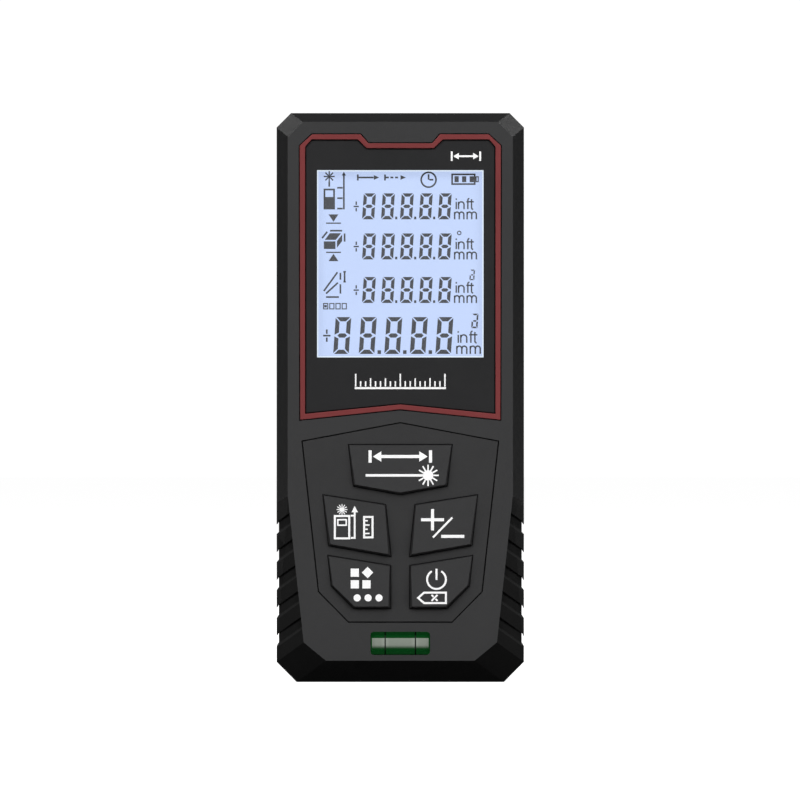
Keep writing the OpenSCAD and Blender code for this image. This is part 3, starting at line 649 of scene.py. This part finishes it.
def marks(name, shapes, surface, finish, body):
    """One thin printed or lit piece from flat shapes, lying on a surface given as y for each z."""
    mesh = bpy.data.meshes.new(name)
    build = bmesh.new()
    for shape in shapes:
        build.faces.new([build.verts.new((x * MM, 0, z * MM)) for x, z in shape])
    bmesh.ops.remove_doubles(build, verts=build.verts, dist=JOIN_DISTANCE * MM)
    grown = bmesh.ops.extrude_face_region(build, geom=list(build.faces))
    outer = {vert for vert in grown["geom"] if isinstance(vert, bmesh.types.BMVert)}
    for vert in build.verts:
        level = surface(vert.co.z / MM)
        vert.co.y = (level - MARK_PROUD if vert in outer else level + MARK_SUNK) * MM
    bmesh.ops.recalc_face_normals(build, faces=build.faces)
    build.to_mesh(mesh)
    build.free()
    piece = bpy.data.objects.new(name, mesh)
    bpy.context.scene.collection.objects.link(piece)
    mesh.materials.append(FINISHES[finish].material)
    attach(piece, body)


# ---------------------------------------------------------------- printed marks

# How proud of the front face the keys' upper edges stand, and how far a key's walls lean in for
# each millimetre of height
KEY_TOP_PROUD = 0.15
KEY_DRAFT = 0.45
# Heights on the meter of the two ends of each key's sloped cap
CAP_LEVELS = {
    "measure_key": (38, 47.9), "reference_key": (25.5, 37.75), "plus_minus_key": (25.5, 37.75),
    "function_key": (15, 25.5), "power_key": (15, 25.5),
}


def key_surface(key):
    """How deep a key's sloped cap lies, from its lower edge to its upper one."""
    low, high = CAP_LEVELS[key]
    low += (FRONT_Y - KEY_Y) * KEY_DRAFT
    slope = (FRONT_Y - KEY_TOP_PROUD - KEY_Y) / (high - low)
    return lambda z: KEY_Y + slope * (z - low)


def measure_marks():
    """A span arrow over a beam that ends in a burst."""
    shapes = span_arrow(-6.4, 6.4, 45.6, bar_h=2.5, line=0.62, head=1.7, head_h=2.1)
    burst = (5.6, 41.8)
    core = 1.05
    shapes += ribbon([(-7.0, burst[1]), (burst[0] - core, burst[1])], 0.5)
    return shapes + starburst(burst, core, reach=2.15, rays=12, width=0.3)


def reference_marks():
    """The meter with its beam, the length it measures, and a ruler."""
    shapes = starburst((-11.75, 34.9), core=0.42, reach=1.1, rays=12, width=0.17)
    shapes += frame_line(-13.4, 28.9, -10.1, 33.8, width=0.4)
    shapes += frame_line(-12.75, 31.6, -10.75, 33.0, width=0.3)
    shapes += rectangle(-9.38, 29.0, -9.02, 34.4)
    shapes += arrow_head((-9.2, 35.65), (0, 1), length=1.3, width=1.3)
    for level in (29.0, 33.5):
        shapes += rectangle(-10.0, level, -9.4, level + 0.35)
    shapes += frame_line(-7.5, 29.1, -5.4, 33.6, width=0.4)
    for i in range(4):
        level = 29.95 + 0.85 * i
        shapes += rectangle(-7.1, level, -6.2 - 0.35 * (i % 2), level + 0.28)
    return shapes


def plus_minus_marks():
    """A plus and a minus on each side of a slash."""
    x, z = 6.5, 32.85
    half_line = 0.3
    across, up = 2.33, 2.15
    shapes = rectangle(x - across, z - half_line, x - half_line, z + half_line)
    shapes += rectangle(x + half_line, z - half_line, x + across, z + half_line)
    shapes += rectangle(x - half_line, z - up, x + half_line, z + up)
    shapes += ribbon([(6.6, 29.3), (10.5, 33.3)], 0.4)
    return shapes + rectangle(8.25, 29.2, 12.9, 29.8)


def function_marks():
    """Three tiles and a diamond over three dots."""
    tile = 1.65
    shapes = []
    for x, z in ((-10.0, 21.35), (-10.0, 19.0), (-7.65, 19.0)):
        shapes += rectangle(x, z, x + tile, z + tile)
    diamond = (-6.6, 22.2)
    half = 1.15
    shapes.append([(diamond[0] + half * dx, diamond[1] + half * dz)
                   for dx, dz in ((1, 0), (0, 1), (-1, 0), (0, -1))])
    for x in (-8.7, -6.5, -4.3):
        shapes += disc((x, 17.1), 0.72)
    return shapes


def power_marks():
    """The power ring over a tag with a cross in it, which stands for clearing."""
    shapes = ribbon(arc((7.3, 20.8), 1.9, 120, 420, steps=36), 0.38)
    shapes += rectangle(7.1, 20.7, 7.5, 22.95)
    tag = [(3.6, 17.1), (4.8, 18.15), (9.2, 18.15), (9.2, 16.05), (4.8, 16.05)]
    shapes += ribbon(tag, 0.4, closed=True)
    x, z = 6.9, 17.1
    near, far = 0.2, 0.6
    line = 0.36
    shapes += ribbon([(x - far, z - far), (x + far, z + far)], line)
    for side in (-1, 1):
        shapes += ribbon([(x + side * reach, z - side * reach) for reach in (near, far)], line)
    return shapes


def tick_height(i):
    """Taller for every third tick of the ruler, and tallest for every ninth."""
    if i % 9 == 0:
        return 2.6
    return 1.7 if i % 3 == 0 else 1.1


def panel_marks():
    """A short ruler under the display, and a small span arrow over it."""
    shapes = rectangle(-9.2, 59.2, 9.2, 59.6)
    foot = 59.7
    half_line = 0.14
    for i in range(19):
        x = -9.0 + i
        shapes += rectangle(x - half_line, foot, x + half_line, foot + tick_height(i))
    return shapes + span_arrow(10.2, 16.3, 106.2, bar_h=1.9, line=0.36, head=1.1, head_h=1.3)


# ---------------------------------------------------------------- display segments

SYMBOL_LINE = 0.34


def bar(x0, z0, x1, z1):
    """One line of a pictogram."""
    return ribbon([(x0, z0), (x1, z1)], SYMBOL_LINE)


def sign(x, z, width, stroke, height):
    """A plus in three bars, of which the level one stays lit for minus."""
    shapes = rectangle(x - width / 2, z - stroke / 2, x + width / 2, z + stroke / 2)
    gap = stroke * 1.1
    for side in (-1, 1):
        ends = sorted((z + side * gap, z + side * height))
        shapes += rectangle(x - stroke / 2, ends[0], x + stroke / 2, ends[1])
    return shapes


def figure_row(x0, z, pitch, point, **figure):
    """Five even figures, with a point after each of the middle three."""
    start, end, height = point
    shapes = []
    for i in range(5):
        x = x0 + pitch * i
        shapes += digit(x, z, **figure)
        if 1 <= i <= 3:
            shapes += rectangle(x + start, z, x + end, z + height)
    return shapes


def lcd_rows():
    """Three rows of small figures and one of large ones, each with points, sign and units."""
    shapes = []
    for base in (93.5, 85.4, 76.6):
        shapes += figure_row(-7.73, base, pitch=3.83, point=(2.86, 3.3, 0.55),
                             width=2.45, height=5.25, stroke=0.68, gap=0.14)
        shapes += sign(-8.9, base + 2.6, width=1.05, stroke=0.29, height=1.0)
        shapes += unit("inft", 11.2, base + 2.05, height=1.5, width=0.29)
        shapes += unit("mm", 10.98, base, height=1.5, width=0.29)
    base = 66.3
    shapes += figure_row(-13.56, base, pitch=5.16, point=(3.8, 4.5, 0.75),
                         width=3.15, height=7.45, stroke=0.86, gap=0.17)
    shapes += sign(-14.85, base + 3.7, width=1.5, stroke=0.34, height=1.25)
    shapes += unit("inft", 11.6, base + 2.25, height=1.63, width=0.3)
    shapes += unit("mm", 11.42, base, height=1.62, width=0.3)
    shapes += ring((11.9, 90.75), 0.36, width=0.2, steps=20)
    shapes += digit(13.95, 81.2, width=1.0, height=2.15, stroke=0.26, gap=0.07, lit=6)
    return shapes + digit(14.3, 71.5, width=1.3, height=2.95, stroke=0.34, gap=0.08, lit=6)


def lcd_symbols():
    """The display's pictograms down its left side and along its top."""
    return [
        *reach_symbol(), *extreme(-1, 93.75), *extreme(1, 85.8), *box_symbol(), *angle_symbol(),
        *memory_symbol(), *arrow_symbols(), *clock_symbol(), *battery_symbol(),
    ]


def reach_symbol():
    """The meter with its beam, beside an upright arrow with three level ticks."""
    burst = (-14.36, 102.15)
    shapes = starburst(burst, core=0.3, reach=1.1, rays=8, width=0.26)
    shapes += bar(burst[0], 100.1, burst[0], 101.05)
    shapes += frame_line(-15.5, 97.65, -13.2, 99.7, width=0.36) + rectangle(-15.5, 95.5, -13.2, 97.65)
    shapes += bar(-11.4, 95.5, -11.4, 102.4)
    shapes += arrow_head((-11.4, 103.1), (0, 1), length=0.75, width=0.85)
    for level in (95.5, 97.6, 99.7):
        shapes += bar(-12.75, level + SYMBOL_LINE / 2, -11.65, level + SYMBOL_LINE / 2)
    return shapes


def extreme(way, z):
    """A triangle against a bar: up for the largest reading, down for the smallest."""
    x = -13.5
    shapes = arrow_head((x, z + 0.75 * way), (0, way), length=1.5, width=2.0)
    edge = sorted((z + 0.9 * way, z + 1.15 * way))
    return shapes + rectangle(x - 1.5, edge[0], x + 1.5, edge[1])


def box_symbol():
    """A solid box with a line along each of its three sizes."""
    return [
        [(-15.45, 87.5), (-13.1, 87.5), (-13.1, 89.05), (-15.45, 89.05)],
        [(-15.25, 89.35), (-13.05, 89.35), (-11.95, 90.7), (-14.25, 90.7)],
        [(-12.8, 87.75), (-11.75, 89.1), (-11.75, 90.45), (-12.8, 89.1)],
        *bar(-14.2, 91.2, -11.75, 91.2), *bar(-11.25, 89.0, -11.25, 90.65),
        *bar(-15.8, 89.7, -14.75, 91.0),
    ]


def angle_symbol():
    """Two sight lines to a wall, with the height between them."""
    return [
        *bar(-15.45, 79.0, -12.7, 82.8), *bar(-15.0, 78.5, -12.6, 80.7),
        *bar(-15.0, 77.8, -12.4, 77.8), *bar(-12.1, 81.3, -12.1, 82.7),
        *bar(-12.1, 78.5, -12.1, 80.4), *bar(-11.25, 81.05, -11.25, 82.75),
        *bar(-11.5, 82.9, -11.0, 82.9), *bar(-11.5, 80.9, -11.0, 80.9),
    ]


def memory_symbol():
    """A row of four small cells, which stands for stored readings."""
    shapes = []
    for i in range(4):
        x = -15.6 + 1.25 * i
        shapes += frame_line(x, 75.3, x + 1.05, 76.6, width=0.2)
    return shapes + rectangle(-15.35, 75.7, -14.85, 76.2)


def arrow_symbols():
    """Two arrows, each from a bar, the second one dashed."""
    z = 101.95
    whole = ((0.25, 3.3),)
    dashes = ((0.25, 0.9), (1.2, 1.8), (2.15, 2.75))
    shapes = []
    for x0, x1, parts in ((-8.7, -4.25, whole), (-3.2, 1.15, dashes)):
        shapes += bar(x0 + 0.11, z - 0.6, x0 + 0.11, z + 0.6)
        shapes += arrow_head((x1, z), (1, 0), length=1.1, width=0.95)
        for start, end in parts:
            shapes += bar(x0 + start, z, x0 + end, z)
    return shapes


def clock_symbol():
    """A clock's ring and two hands."""
    x, z = 5.72, 101.5
    shapes = ring((x, z), 1.5, SYMBOL_LINE) + bar(x, z, x, z + 1.1)
    return shapes + bar(x + SYMBOL_LINE / 2, z, x + 0.95, z)


def battery_symbol():
    """A battery with three cells."""
    shapes = frame_line(10.3, 100.45, 15.2, 102.75, SYMBOL_LINE)
    shapes += frame_line(15.2, 101.0, 15.85, 102.2, width=0.22)
    for i in range(3):
        x = 10.95 + 1.53 * i
        shapes += rectangle(x, 101.0, x + 0.85, 102.2)
    return shapes


def print_marks():
    """Puts the white print on the keys and panel, and the segments on the display."""
    prints = {
        "measure_key": measure_marks(), "reference_key": reference_marks(),
        "plus_minus_key": plus_minus_marks(), "function_key": function_marks(),
        "power_key": power_marks(),
    }
    for key, shapes in prints.items():
        marks(key.replace("key", "print"), shapes, key_surface(key), "print_white", key)
    panel_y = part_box("display_bezel")[0].y / MM
    marks("panel_print", panel_marks(), lambda z: panel_y, "print_white", "case")
    marks("lcd_figures", lcd_rows(), lambda z: LCD_Y, "segment", "case")
    marks("lcd_pictograms", lcd_symbols(), lambda z: LCD_Y, "segment", "case")


print_marks()


# ---------------------------------------------------------------- studio, in metres and watts

# Brightness of the tent at the front and at its far side, the Y of the directions between which it
# grows, and its brightness where it is seen directly
TENT_NEAR = 0.06
TENT_FAR = 0.35
TENT_TURN = (0.4, 0.95)
TENT_WHITE = 1.05

# The floor's reach to every side, its height, just clear of the meter, and how it glows where it is seen
FLOOR_REACH = 4.0
FLOOR_Z = -0.00002
FLOOR_GLOW = 0.96

# Width of the view at the front face, the camera's distance from it, and the x and z it looks at
VIEW_WIDE = 0.1614
VIEW_DISTANCE = 1.5
VIEW_MIDDLE = (-0.00006, 0.057)

# Place, aim, size and power of each pair of lamps, which stand to both sides
LIGHTS = {
    "key": ((0.75, -0.90, 0.95), (0, 0, 0.06), 0.45, 11.6),
    "rim": ((0.45, 0.31, 0.52), (0, 0, 0.11), 0.20, 1.85),
    "back": ((0.81, 0.81, 0.86), (0, 0, 0.05), 0.60, 6.8),
}


def area_light(name, place, aim, size, power):
    """A soft square lamp."""
    data = bpy.data.lights.new(name, "AREA")
    data.size = size
    data.energy = power
    lamp = bpy.data.objects.new(name, data)
    lamp.visible_camera = False
    lamp.location = place
    lamp.rotation_euler = (Vector(aim) - Vector(place)).to_track_quat("-Z", "Y").to_euler()
    bpy.context.scene.collection.objects.link(lamp)


def world():
    """A dim tent that is brighter at its far side, seen from anywhere as plain white."""
    made = bpy.data.worlds.new("tent")
    bpy.context.scene.world = made
    made.use_nodes = True
    nodes, links = made.node_tree.nodes, made.node_tree.links
    direction = nodes.new("ShaderNodeTexCoord")
    split = nodes.new("ShaderNodeSeparateXYZ")
    spread = nodes.new("ShaderNodeMapRange")
    spread.inputs["From Min"].default_value = TENT_TURN[0]
    spread.inputs["From Max"].default_value = TENT_TURN[1]
    spread.inputs["To Min"].default_value = TENT_NEAR
    spread.inputs["To Max"].default_value = TENT_FAR
    links.new(direction.outputs["Generated"], split.inputs[0])
    links.new(split.outputs["Y"], spread.inputs["Value"])
    seen = nodes.new("ShaderNodeMix")
    links.new(nodes.new("ShaderNodeLightPath").outputs["Is Camera Ray"], seen.inputs["Factor"])
    links.new(spread.outputs[0], seen.inputs[2])
    seen.inputs[3].default_value = TENT_WHITE
    links.new(seen.outputs[0], nodes["Background"].inputs["Strength"])
    nodes["Background"].inputs["Color"].default_value = (1, 1, 1, 1)


def floor():
    """A plain pale table, lit so that it meets the tent without an edge."""
    mesh = bpy.data.meshes.new("floor")
    corners = [(sx * FLOOR_REACH, sy * FLOOR_REACH, 0) for sx, sy in ((-1, -1), (1, -1), (1, 1), (-1, 1))]
    mesh.from_pydata(corners, [], [(0, 1, 2, 3)])
    table = bpy.data.objects.new("floor", mesh)
    table.location.z = FLOOR_Z
    bpy.context.scene.collection.objects.link(table)
    shader = Shader("floor", (0.3, 0.3, 0.3), 0.8, specular=0.0)
    shader.paint(shader.mix(shader.noise(400.0), (0.29, 0.29, 0.29), (0.31, 0.31, 0.31)))
    seen = shader.node("ShaderNodeLightPath").outputs["Is Camera Ray"]
    shader.glow((1, 1, 1), shader.math("MULTIPLY", seen, FLOOR_GLOW))
    mesh.materials.append(shader.material)


def camera():
    """Square on to the front face, from far enough to look nearly parallel."""
    data = bpy.data.cameras.new("camera")
    data.sensor_width = 36
    data.lens = data.sensor_width * VIEW_DISTANCE / VIEW_WIDE
    data.clip_end = 50
    eye = bpy.data.objects.new("camera", data)
    eye.location = (VIEW_MIDDLE[0], FRONT_Y * MM - VIEW_DISTANCE, VIEW_MIDDLE[1])
    eye.rotation_euler = (math.radians(90), 0, 0)
    bpy.context.scene.collection.objects.link(eye)
    bpy.context.scene.camera = eye


bpy.context.scene.view_settings.view_transform = "Standard"
world()
floor()
camera()
for kind, (place, aim, size, power) in LIGHTS.items():
    for side in (-1, 1):
        area_light(f"{kind}_{side}", (side * place[0], *place[1:]), aim, size, power)
